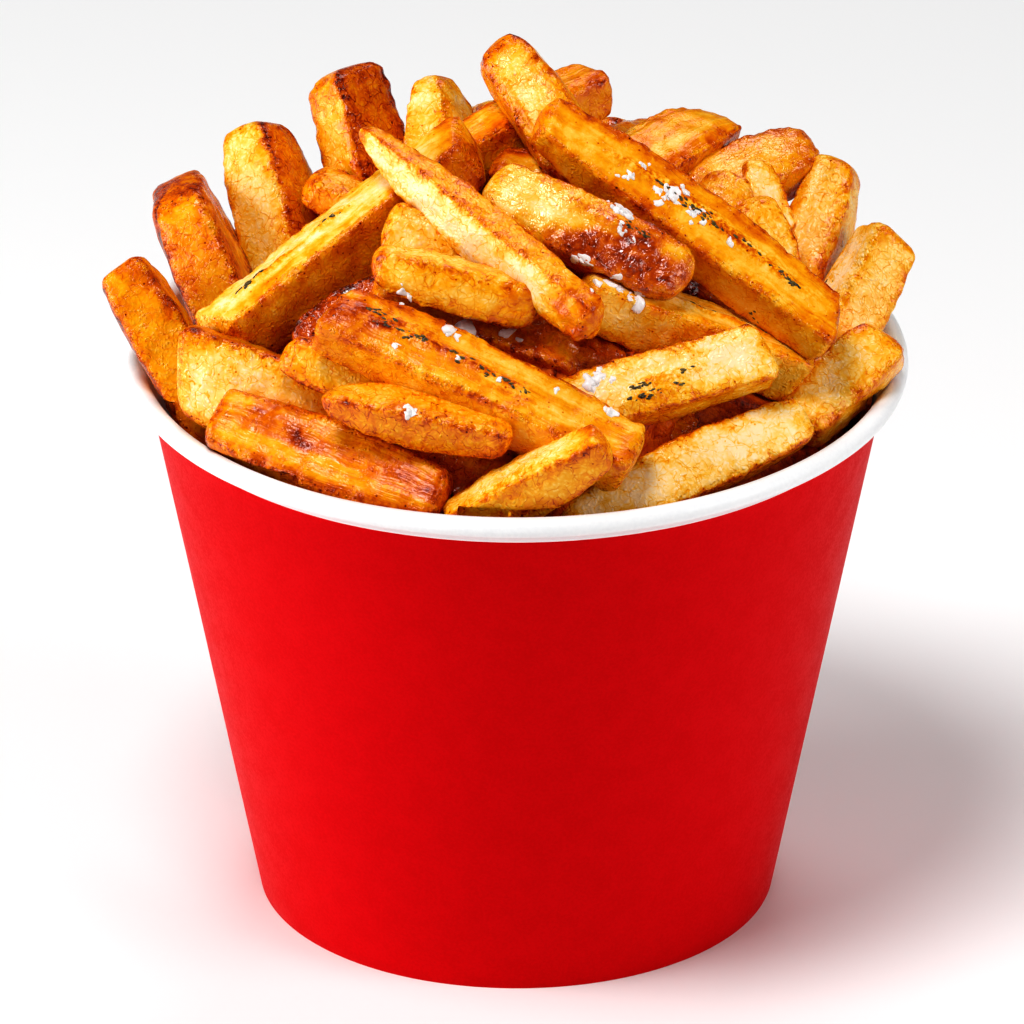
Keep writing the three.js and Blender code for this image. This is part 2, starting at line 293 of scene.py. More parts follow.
# Browning: one scale from pale flesh through gold and caramel to burnt.
browningScale = [
    (0.00, srgb(255, 227, 178)), (0.10, srgb(255, 214, 134)), (0.20, srgb(251, 196, 78)),
    (0.32, srgb(244, 168, 22)), (0.45, srgb(233, 137, 4)), (0.58, srgb(214, 102, 4)),
    (0.70, srgb(178, 66, 5)), (0.82, srgb(122, 37, 6)), (0.92, srgb(68, 19, 5)),
    (1.00, srgb(32, 9, 3)),
]

# Noise in the colour: scale, detail, roughness and distortion.
patchNoise = dict(broad=(0.09, 2.0, 0.5, 0.3), middle=(0.3, 3.0, 0.6, 0.4), fine=(1.1, 2.0, 0.6, 0.0))
poreForm = dict(scale=0.5, inner=0.07, outer=0.17, rimShare=0.12)
darkest = 0.9


# Besides browning, this group paints shade: points that lie deep in the heap are browned darker.
def makeBrowningAndShadeGroup():
    tree, given, out = newGroup("Browning", {
        "Place": None, "Tone": 0.4, "Edge": 0.0, "Rim": 0.0, "End": 0.0, "Crack": 0.0, "Dome": 0.0,
        "Streak": 0.5, "Vein": 0.0, "Depth": 0.0, "Burn": 0.0, "Patchiness": 0.3,
        "Edge Browning": 0.22, "Rim Browning": 0.1, "End Browning": 0.05, "Crack Browning": 0.08,
        "Dome Browning": -0.1, "Streak Browning": 0.12, "Vein Browning": 0.3, "Depth Browning": 0.08,
        "Burnt Level": 0.78, "Specks": 0.3,
    }, ["Color", "Level"])
    broad, middle, fine = (noiseAt(tree, given["Place"], *look) for look in patchNoise.values())
    both = calc(tree, "ADD", middle, fine)
    patches = calc(tree, "SUBTRACT", calc(tree, "ADD", broad, middle), 1.0)
    level = calc(tree, "MULTIPLY_ADD", patches, given["Patchiness"], given["Tone"])
    shares = {
        "Edge": calc(tree, "MULTIPLY", given["Edge"], remap(tree, both, 0.8, 1.3, 0.15, 1.0)),
        "Rim": calc(tree, "MULTIPLY", given["Rim"], remap(tree, middle, 0.3, 0.7, 0.3, 1.0)),
        "End": calc(tree, "MULTIPLY", given["End"], remap(tree, middle, 0.35, 0.65, 0.4, 1.0)),
        "Crack": given["Crack"],
        "Dome": calc(tree, "SUBTRACT", given["Dome"], 0.3),
        "Streak": calc(tree, "SUBTRACT", given["Streak"], 0.5),
        "Vein": calc(tree, "MULTIPLY", given["Vein"], remap(tree, both, 0.8, 1.2)),
        "Depth": given["Depth"],
    }
    for key, share in shares.items():
        level = calc(tree, "MULTIPLY_ADD", share, given[key + " Browning"], level)

    # scorched places go to their own level, lighter and darker by patches
    scorch = calc(tree, "MULTIPLY", given["Burn"], remap(tree, broad, 0.35, 0.65, 0.6, 1.15), clamp=True)
    burnt = calc(tree, "MULTIPLY_ADD", calc(tree, "SUBTRACT", middle, 0.5), 0.9, given["Burnt Level"])
    level = calc(tree, "MULTIPLY_ADD", calc(tree, "SUBTRACT", burnt, level), scorch, level)

    pores = cellsAt(tree, given["Place"], poreForm["scale"])
    where = remap(tree, calc(tree, "MULTIPLY_ADD", given["Rim"], poreForm["rimShare"], middle), 0.48, 0.6)
    pore = calc(tree, "MULTIPLY", remap(tree, pores, poreForm["inner"], poreForm["outer"], 1.0, 0.0), where)
    level = calc(tree, "MULTIPLY_ADD", pore, given["Specks"], level)
    level = calc(tree, "MULTIPLY_ADD", calc(tree, "SUBTRACT", fine, 0.5), 0.1, level)
    level = calc(tree, "MINIMUM", level, darkest, clamp=True)
    ramp = addNode(tree, "ShaderNodeValToRGB", {"Fac": level})
    stops = ramp.color_ramp.elements
    while len(stops) < len(browningScale):
        stops.new(0.5)
    for stop, (place, colour) in zip(stops, browningScale):
        stop.position = place
        stop.color = colour
    connect(tree, out, {"Color": ramp.outputs["Color"], "Level": level})
    return tree


# Oil: where the surface shines, and the small bubbles along the edges and in patches of skin.
oilForm = dict(filmScale=0.4, edgeWet=0.5, bubbleScale=1.0, patchScale=0.28, patchShare=0.55)


def makeOilGroup():
    form = oilForm
    tree, given, out = newGroup("Frying oil", {
        "Place": None, "Edge": 0.0, "Level": 0.4, "Matte": 0.48, "Wet": 0.22,
    }, ["Roughness", "Bubbles"])
    film = noiseAt(tree, given["Place"], form["filmScale"], 2.0, 0.6)
    wet = calc(tree, "MULTIPLY_ADD", given["Edge"], form["edgeWet"], remap(tree, film, 0.46, 0.62, 0.0, 0.7))
    wet = calc(tree, "ADD", wet, remap(tree, given["Level"], 0.5, 0.8), clamp=True)
    roughness = remap(tree, wet, 0.0, 1.0, given["Matte"], given["Wet"], "LINEAR")
    bead = remap(tree, cellsAt(tree, given["Place"], form["bubbleScale"]), 0.05, 0.5, 1.0, 0.0)
    patches = noiseAt(tree, given["Place"], form["patchScale"], 1.0)
    patch = remap(tree, patches, 0.5, 0.66, 0.0, form["patchShare"])
    where = calc(tree, "MAXIMUM", remap(tree, given["Edge"], 0.1, 0.7), patch)
    connect(tree, out, {"Roughness": roughness, "Bubbles": calc(tree, "MULTIPLY", bead, where)})
    return tree


# Paper: the short mottles of coated board.
def makePaperGroup():
    tree, given, out = newGroup("Coated paper", {"Place": None, "Size": 0.5}, ["Mottle", "Height"])
    scale = calc(tree, "DIVIDE", 1.0, given["Size"])
    mottle = noiseAt(tree, given["Place"], scale, 3.0, 0.6)
    cloud = noiseAt(tree, given["Place"], calc(tree, "MULTIPLY", scale, 0.12))
    both = calc(tree, "MULTIPLY_ADD", cloud, 0.5, mottle)
    connect(tree, out, {"Mottle": remap(tree, both, 0.5, 1.0), "Height": mottle})
    return tree


blisterGroup, fibreGroup = makeBlisterGroup(), makeFibreGroup()
browningAndShadeGroup, oilGroup, paperGroup = makeBrowningAndShadeGroup(), makeOilGroup(), makePaperGroup()
print("node groups made")


def makeFriedMaterial(name, look):
    material, tree, shader = newMaterial(name, {"IOR": 1.45, "Specular IOR Level": look["shine"]})
    keys = ("edge", "rim", "end", "tone", "burn", "paintedShade", "cut", "vein")
    own = {key: attributeOf(tree, key) for key in keys}
    place = placeOf(tree)
    blisters = useGroup(tree, blisterGroup, {"Place": place, "Cell": look["cell"], "Warp": 0.9})
    fibres = useGroup(tree, fibreGroup, {"Grain": attributeOf(tree, "grain", "Vector"), "Length": 24.0,
                                         "Width": look["fibreWidth"]})
    blistered = calc(tree, "SUBTRACT", 1.0, calc(tree, "MULTIPLY", own["cut"], look["cutSmooth"]))
    # the colour includes painted shade: points deep in the heap are browned darker
    browningAndShade = useGroup(tree, browningAndShadeGroup, {
        "Place": place, "Tone": calc(tree, "ADD", own["tone"], look["toneShift"]), "Edge": own["edge"],
        "Rim": own["rim"], "End": own["end"], "Burn": own["burn"], "Depth": own["paintedShade"], "Vein": own["vein"],
        "Crack": calc(tree, "MULTIPLY", blisters["Crack"], blistered),
        "Dome": calc(tree, "MULTIPLY", blisters["Dome"], blistered),
        "Streak": calc(tree, "MULTIPLY_ADD", calc(tree, "SUBTRACT", fibres["Streak"], 0.5), own["cut"], 0.5),
        "Patchiness": look["patchiness"], "Edge Browning": look["edgeBrowning"],
        "Rim Browning": look["rimBrowning"], "Crack Browning": look["crackBrowning"],
        "Streak Browning": look["streakBrowning"], "Dome Browning": -look["domePaling"],
        "Burnt Level": look["burntLevel"],
    })
    oil = useGroup(tree, oilGroup, {"Place": place, "Edge": own["edge"], "Level": browningAndShade["Level"],
                                    "Matte": look["matte"], "Wet": look["wet"]})
    height = 0.0
    for raised, key in (
        (calc(tree, "MULTIPLY", blisters["Height"], blistered), "blisterRelief"),
        (calc(tree, "MULTIPLY", fibres["Height"], own["cut"]), "fibreRelief"),
        (noiseAt(tree, place, 1.6, 2.0, 0.65), "wrinkleRelief"),
        (oil["Bubbles"], "bubbleRelief"),
    ):
        height = calc(tree, "MULTIPLY_ADD", raised, look[key], height)
    connect(tree, shader, {"Base Color": browningAndShade["Color"], "Roughness": oil["Roughness"],
                           "Normal": bumpOf(tree, height, 0.0004)})
    return material


# A strip's own entry: the middles of its ends, the width of the cut face and the thickness under
# it, how far that face turns to the viewer and what its ends narrow to. Tones run from 0, pale, to
# 1, burnt: the cut face has one, its two sides another each. Besides browning, the tones carry some
# painted light and shade, as faces were toned to match how lit they look. square shapes the section,
# round the ends, and slant cuts them askew. A spot is a browned place: share of the length, place
# across, radius, strength. A seed row: place across, first and last share of the length, count.
def strip(start, finish, wide, thick, roll, tips, tone, sides=None, square=7, round=3.4, slant=(0, 0),
          spots=(), seeds=()):
    return dict(start=np.array(start, float), finish=np.array(finish, float), wide=wide, thick=thick,
                roll=roll, tips=tips, tone=tone, sides=sides or (tone + 0.1, tone + 0.1), square=square,
                round=round, slant=slant, spots=spots, seeds=seeds)


# Shared by all strips. Reaches and sizes are in millimetres, and reliefs are heights of the surface.
stripShape = dict(
    endSquare=2.3, cornerStep=2.0, askew=0.22, askewReach=14, wedge=0.12, taperReach=0.45, bow=1.0, sag=0.6,
    twist=5.0, swell=0.7, swellSize=17, lump=0.45, lumpSize=5.2, ridge=0.5, ridgeSize=2.1, lip=0.3,
    groove=0.35, grooveLength=15, grooveWidth=2.1, seedGroove=0.9, seedLine=0.15,
    shrivel=0.7, foldSize=3.6, creaseSize=1.7, edgeReach=1.5, rimReach=5, endReach=8,
)

goldenStrips = dict(name="goldenStrips", rings=88, sides=60, strips=[
    strip((-90, -8, 159), (-67, -25, 122), 15, 14, -40, (0.8, 0.9), 0.46, (0.36, 0.44), slant=(-0.3, 0),
          spots=[(0, 0.3, 6, 0.35), (0.1, 1, 5, 0.2)]),
    strip((-79, 22, 166), (-56, -8, 126), 22, 15, -45, (0.8, 0.9), 0.49, (0.38, 0.5), slant=(0.35, 0),
          spots=[(0, -0.8, 6, 0.35), (0.04, 0.8, 5, 0.3)], seeds=[(0.1, 0.3, 0.7, 10)]),
    strip((-17, 5, 177), (19, 30, 188), 14, 13, 0, (0.8, 0.8), 0.3, (0.4, 0.4), slant=(0, 0.3),
          spots=[(1, 0.8, 4, 0.3)]),
    strip((24, 18, 167), (48, 45, 170), 17, 13, 10, (0.9, 0.5), 0.31, (0.42, 0.42),
          spots=[(0.75, 0.9, 3, 0.3)]),
    strip((-6, 2, 179), (26, -7, 172), 13, 10, 20, (0.8, 0.8), 0.36, (0.45, 0.45), seeds=[(0, 0.3, 0.8, 5)]),
    strip((-67, -31, 150), (-9, -3, 187), 14, 17, -5, (0.85, 0.85), 0.17, (0.38, 0.4),
          square=9, slant=(0.45, -0.3),
          spots=[(1, -0.9, 6, 0.4), (0.95, 0.6, 6, 0.4)], seeds=[(-0.05, 0.15, 0.33, 14), (0, 0.44, 0.56, 6)]),
    strip((5, -8, 197), (72, -31, 153), 17, 12, 18, (0.6, 0.85), 0.33, (0.32, 0.42),
          square=10, slant=(0, 0.15),
          spots=[(0, 0, 8, 0.2), (0.28, -0.4, 12, 0.25), (1, 0, 5, 0.3), (0.6, 1, 3, 0.35), (0.35, 1, 4, 0.25),
                 (0.1, 0.9, 5, 0.2)],
          seeds=[(0.02, 0.22, 0.85, 34), (-0.14, 0.3, 0.7, 8)]),
    strip((-43, -50, 167), (27, -73, 141), 17, 13, 20, (0.85, 0.85), 0.3, (0.33, 0.42), square=9,
          spots=[(0, 0, 7, 0.4), (0.08, -0.6, 6, 0.4), (0.2, -0.85, 6, 0.4), (0.34, -0.95, 5, 0.35),
                 (0.04, 0.8, 5, 0.35), (0.13, 0.3, 4, 0.25), (1, 0, 5, 0.4)],
          seeds=[(0.05, 0.14, 0.62, 34), (-0.25, 0.08, 0.3, 8)]),
    strip((-69, -46, 139), (-16, -73, 130), 19, 12, 45, (0.75, 0.8), 0.4, (0.45, 0.36), square=7,
          spots=[(0.24, -0.6, 4, 0.65), (0.17, -0.2, 3, 0.4), (0.38, -0.05, 2.6, 1.0), (0.44, 0.1, 3, 0.6),
                 (0.34, -0.5, 3, 0.4), (0.66, 0.3, 4, 0.2), (0.95, 0, 6, 0.3)]),
    strip((14, -40, 167), (65, -28, 142), 14, 14, 5, (0.85, 0.9), 0.24, (0.18, 0.3), square=9,
          spots=[(1, 0, 5, 0.4), (0.45, 0.9, 3, 0.2)], seeds=[(0.1, 0.08, 0.9, 18)]),
])

paleStrips = dict(name="paleStrips", rings=84, sides=56, strips=[
    strip((-60, 38, 174), (-49, 4, 137), 18, 17, -40, (0.7, 0.9), 0.46, (0.18, 0.5), square=5, round=5.5,
          spots=[(0, -0.2, 5, 0.45), (0.25, 1, 4, 0.2)]),
    strip((-40, 42, 186), (-30, 16, 146), 18, 14, -30, (0.85, 0.95), 0.54, (0.3, 0.56),
          spots=[(0, 0, 4, 0.55), (0.12, -1, 4, 0.3), (0, 1, 5, 0.3)]),
    strip((-19, 34, 188), (-12, 8, 156), 18, 13, -45, (0.45, 0.95), 0.26, (0.15, 0.34),
          spots=[(0, 0, 4, 0.3)]),
    strip((-5, 21, 202), (16, -5, 180), 15, 13, 35, (0.75, 0.95), 0.25, (0.38, 0.4), square=5, round=5.5,
          spots=[(0, 0, 4, 0.4), (0.3, 1, 4, 0.25), (0.2, -1, 4, 0.25)]),
    strip((54, 27, 170), (61, 11, 143), 11, 10, 0, (0.6, 0.95), 0.08, (0.3, 0.36), square=5,
          spots=[(0, 0, 3, 0.35)]),
    strip((53, 12, 167), (62, -4, 140), 14, 12, 0, (0.7, 0.95), 0.16, (0.32, 0.4), square=5,
          spots=[(0, -0.5, 4, 0.45), (0.3, 0.6, 4, 0.3)]),
    strip((75, 33, 167), (60, 4, 134), 14, 12, 0, (0.7, 0.95), 0.24, (0.36, 0.24), spots=[(0, 0, 4, 0.25)]),
    strip((86, 12, 158), (65, -12, 126), 16, 14, 30, (0.85, 0.95), 0.02, (0.1, 0.2), spots=[(0, 0, 4, 0.45)],
          seeds=[(0.1, 0.25, 0.7, 8)]),
    strip((-48, 18, 169), (-28, 10, 160), 12, 9, 0, (0.8, 0.9), 0.3, (0.32, 0.4), spots=[(0, 0, 4, 0.3)]),
    strip((-36, -10, 194), (18, -57, 167), 13, 9, 85, (0.3, 0.8), 0.07, (0.36, 0.34), square=5, round=4.5,
          spots=[(0, 0, 5, 0.5), (0.99, 0, 8, 0.8), (0.89, -0.5, 4, 0.6), (0.92, 0.8, 4, 0.3)]),
    strip((-33, -44, 177), (6, -47, 167), 12, 10, 80, (0.6, 0.9), 0.3, (0.5, 0.22), square=5.5,
          spots=[(0, 0.4, 4, 0.4), (0.95, 0, 6, 0.35)]),
    strip((-44, -63, 152), (-1, -71, 146), 13, 11, 5, (0.4, 0.85), 0.3, (0.42, 0.36), square=5, round=4.5,
          spots=[(1, -0.6, 8, 0.3), (0, 0, 5, 0.3)]),
    strip((-53, -44, 155), (-29, -52, 149), 12, 10, 70, (0.7, 0.85), 0.28, (0.45, 0.45),
          spots=[(0, 0.8, 5, 0.35)]),
    strip((-77, -34, 147), (-40, -48, 137), 22, 9, 75, (0.85, 0.7), 0.17, (0.28, 0.42),
          square=6, slant=(0.3, 0),
          spots=[(0, 0.8, 4, 0.25), (0.05, -1, 5, 0.35)]),
    strip((-30, -26, 178), (-8, -32, 170), 13, 10, 60, (0.8, 0.8), 0.2),
    strip((-15, -76, 126), (21, -80, 149), 13, 12, 5, (0.7, 0.7), 0.18, (0.38, 0.38),
          spots=[(1, 0.2, 5, 0.45), (0.97, -0.8, 5, 0.4)]),
    strip((9, -60, 147), (57, -45, 155), 15, 11, 45, (0.85, 0.95), 0.09, (0.32, 0.44),
          square=8, slant=(0.2, 0.15),
          spots=[(1, 0, 3, 0.45), (0.45, 0.4, 4, 0.3)], seeds=[(0.1, 0.36, 0.68, 12), (0.45, 0.32, 0.56, 12)]),
    strip((10, -75, 125), (66, -46, 139), 14, 11, 45, (0.6, 0.75), 0.04, (0.44, 0.38), square=6, round=4.5,
          spots=[(1, 0.2, 6, 0.35), (0.5, -1, 5, 0.15)]),
    strip((62, -34, 130), (85, -13, 144), 15, 12, 35, (0.9, 0.85), 0.17, (0.28, 0.36), round=4.5,
          spots=[(1, 0.6, 5, 0.35), (0.6, 1, 5, 0.3), (0.55, 0, 3, 0.2)]),
])

brownStrips = dict(name="brownStrips", rings=80, sides=52, strips=[
    strip((25, 38, 171), (22, 20, 150), 10, 10, 0, (0.7, 0.9), 0.46, spots=[(0, 0, 4, 0.35)]),
    strip((38, 22, 162), (69, 38, 166), 15, 13, 20, (0.9, 0.75), 0.32, (0.4, 0.5), square=6, round=5,
          spots=[(1, 0, 7, 0.5), (0.9, 0.8, 6, 0.35)]),
    strip((40, 18, 166), (54, 12, 163), 11, 10, 20, (0.8, 0.8), 0.24),
    strip((-7, -24, 187), (39, -38, 169), 16, 12, 40, (0.75, 0.8), 0.16, (0.38, 0.46), square=5, round=6,
          spots=[(0.36, 0.75, 3, 0.6), (0.45, 0.6, 3.5, 0.85), (0.54, 0.45, 4, 0.9), (0.64, 0.5, 4.5, 0.95),
                 (0.74, 0.4, 5, 0.9), (0.84, 0.2, 6, 0.8), (0.97, 0, 7, 0.8), (0.6, -0.4, 6, 0.35),
                 (0.76, -0.5, 6, 0.4), (0.3, -0.9, 5, 0.3)],
          seeds=[(-0.45, 0.35, 0.75, 12)]),
    strip((-33, -38, 166), (25, -44, 148), 14, 12, 20, (0.8, 0.8), 0.3, (0.4, 0.46), square=7,
          spots=[(0.0, 0.3, 7, 0.2), (0.45, 0, 5, 0.3), (0.66, 0, 8, 0.7), (0.87, 0, 9, 0.8)]),
    strip((-50, -38, 151), (-28, -32, 163), 14, 10, 45, (0.8, 0.8), 0.54, spots=[(0.3, 0, 6, 0.35)]),
    strip((-28, -57, 136), (2, -66, 130), 14, 10, 50, (0.9, 0.9), 0.46),
    strip((26, -52, 137), (42, -50, 134), 11, 9, 30, (0.7, 0.8), 0.42, spots=[(0, 0, 5, 0.4)]),
])

backStrips = dict(name="backStrips", rings=72, sides=44, strips=[
    strip((-66, 46, 137), (-24, 72, 135), 16, 12, -45, (0.8, 0.8), 0.4, spots=[(1, 0, 6, 0.35)]),
    strip((-22, 76, 132), (34, 70, 141), 17, 12, -50, (0.7, 0.85), 0.34, seeds=[(0.0, 0.2, 0.8, 14)]),
    strip((30, 72, 133), (72, 38, 141), 16, 12, -45, (0.8, 0.7), 0.47, spots=[(0.1, 0.4, 6, 0.4)]),
    strip((74, 30, 132), (76, -8, 120), 14, 12, -30, (0.8, 0.8), 0.52),
    strip((-58, 34, 147), (-6, 60, 150), 16, 13, -25, (0.85, 0.7), 0.36, seeds=[(0.1, 0.15, 0.8, 12)]),
    strip((-30, 60, 152), (26, 48, 165), 15, 12, -35, (0.6, 0.85), 0.42,
          spots=[(0, 0, 6, 0.45), (0.6, 0.8, 5, 0.35)]),
    strip((4, 60, 150), (56, 46, 151), 17, 12, -30, (0.85, 0.8), 0.5, spots=[(0.8, 0, 8, 0.45)]),
    strip((50, 50, 141), (74, 14, 143), 14, 12, -30, (0.8, 0.8), 0.38, spots=[(0.2, 0, 6, 0.25)]),
    strip((-40, 34, 158), (6, 44, 161), 14, 12, -20, (0.8, 0.75), 0.4),
    strip((-2, 34, 177), (-12, 70, 153), 15, 11, 0, (0.8, 0.7), 0.3, square=6, spots=[(1, 0, 7, 0.4)]),
    strip((20, 26, 170), (38, 60, 158), 14, 12, 10, (0.85, 0.75), 0.46, spots=[(0.9, -0.5, 7, 0.45)]),
    strip((-62, -14, 146), (-38, 14, 154), 15, 12, 0, (0.8, 0.85), 0.5),
    strip((-46, 2, 158), (-12, 0, 170), 15, 12, -20, (0.8, 0.8), 0.46),
    strip((-4, 26, 168), (28, 14, 172), 14, 12, -35, (0.7, 0.85), 0.58),
    strip((8, 6, 173), (48, 2, 163), 15, 12, -10, (0.85, 0.8), 0.5),
    strip((-2, 26, 164), (40, 34, 152), 15, 12, -30, (0.8, 0.8), 0.55),
    strip((20, 14, 160), (60, 24, 146), 15, 12, -15, (0.85, 0.8), 0.48),
    strip((-24, -14, 167), (18, -14, 171), 14, 12, 10, (0.8, 0.8), 0.6),
    strip((24, -6, 158), (62, -2, 138), 15, 12, 0, (0.8, 0.85), 0.55),
    strip((-75, 4, 124), (-58, 44, 127), 16, 12, 30, (0.8, 0.8), 0.5),
    strip((-68, 8, 135), (-46, 34, 140), 15, 12, 20, (0.85, 0.8), 0.4),
    strip((36, -14, 156), (64, -16, 137), 15, 12, 10, (0.8, 0.8), 0.6),
    strip((-34, 61, 142), (4, 66, 141), 13, 10, -40, (0.8, 0.8), 0.52),
])

commonLook = dict(
    shine=0.36, cell=2.3, fibreWidth=1.4, fibreRelief=0.2, edgeBrowning=0.12, crackBrowning=0.2,
    streakBrowning=0.06, matte=0.26, wet=0.1, wrinkleRelief=0.12, bubbleRelief=0.5,
)
friedLooks = {
    "goldenStrips": dict(commonLook, cell=2.2, fibreWidth=1.8, fibreRelief=0.3, cutSmooth=0.6, toneShift=-0.03,
                         patchiness=0.36, edgeBrowning=0.08, rimBrowning=0.17, crackBrowning=0.16,
                         streakBrowning=0.22, domePaling=0.08, burntLevel=0.76, blisterRelief=0.35,
                         bubbleRelief=0.7),
    "paleStrips": dict(commonLook, fibreRelief=0.1, cutSmooth=0.0, toneShift=-0.06, patchiness=0.34,
                       edgeBrowning=0.13, rimBrowning=0.22, crackBrowning=0.21, streakBrowning=0.0,
                       domePaling=0.14, burntLevel=0.68, blisterRelief=0.3),
    "brownStrips": dict(commonLook, shine=0.8, cell=2.0, cutSmooth=0.2, toneShift=-0.02, patchiness=0.34,
                        rimBrowning=0.16, domePaling=0.12, burntLevel=0.7, matte=0.24, wet=0.07,
                        blisterRelief=0.4, wrinkleRelief=0.16),
    "backStrips": dict(commonLook, fibreWidth=1.6, cutSmooth=0.4, toneShift=-0.08, patchiness=0.36,
                       rimBrowning=0.19, streakBrowning=0.1, domePaling=0.1, burntLevel=0.74,
                       blisterRelief=0.32),
    "underStrips": dict(commonLook, shine=0.15, cell=2.4, fibreWidth=1.5, fibreRelief=0.4, cutSmooth=0.6,
                        toneShift=0.0, patchiness=0.3, edgeBrowning=0.1, rimBrowning=0.1, crackBrowning=0.1,
                        domePaling=0.05, burntLevel=0.8, matte=0.5, wet=0.35, blisterRelief=0.4,
                        wrinkleRelief=0.3, bubbleRelief=0.3),
}


def stripAxes(entry):  # along, across the cut face, and out of the cut face
    along = entry["finish"] - entry["start"]
    along = along / np.linalg.norm(along)
    upright = np.array([0, 0, 1.0]) - along * along[2]
    upright /= np.linalg.norm(upright)
    turn = math.radians(entry["roll"])
    face = math.cos(turn) * upright + math.sin(turn) * np.cross(along, upright)
    return along, np.cross(along, face), face


# The section is a rounded box, walked in steps that are shorter round its corners.
def sectionPoints(square, wide, thick, sides):
    turn = np.linspace(0, 2 * math.pi, 1441)
    reach = (abs(np.cos(turn)) ** square + abs(np.sin(turn)) ** square) ** (-1 / square)
    across, up = np.cos(turn) * reach, np.sin(turn) * reach
    stepAcross, stepUp = np.diff(across) * wide / 2, np.diff(up) * thick / 2
    heading = np.unwrap(np.arctan2(stepUp, stepAcross))
    bend = np.abs(np.diff(heading, append=heading[-1:]))
    steps = np.hypot(stepAcross, stepUp) + stripShape["cornerStep"] * bend
    walked = np.concatenate([[0], np.cumsum(steps)])
    stops = np.arange(sides) / sides * walked[-1]
    return np.interp(stops, walked, across), np.interp(stops, walked, up), stops


def ringPlaces(length, rings, endRound):  # closer together towards the rounded ends
    endRings = rings // 8
    bend = 1 - np.cos(np.linspace(0, math.pi / 2, endRings + 1)[1:])
    middle = np.linspace(endRound, length - endRound, rings - 2 * endRings + 2)[1:-1]
    return np.concatenate([endRound * bend, middle, length - endRound * bend[::-1]])


# The heap's outline as a dome, to tell how deep a point lies for its painted shade, and what the food keeps
# clear of the tub.
heapForm = dict(rim=134, rise=66, radius=88, deep=(2, 26))
rimGap = dict(inside=0.6, below=3.5, above=0.3)


def clearOfTub(points):  # keeps food inside the wall and above the rolled rim
    radius = np.hypot(points[..., 0], points[..., 1])
    height = points[..., 2]
    low, high = tub["height"] - rimGap["below"], tub["height"] + rimGap["above"]
    inner = cupInner(np.minimum(height, shoulderHeight)) - rimGap["inside"]
    outside = radius > inner
    share = np.where(outside & (height <= low), inner / np.maximum(radius, 1), 1)
    lifted = np.where(outside & (height > low) & (height < high), high, height)
    return np.stack([points[..., 0] * share, points[..., 1] * share, lifted], axis=-1)


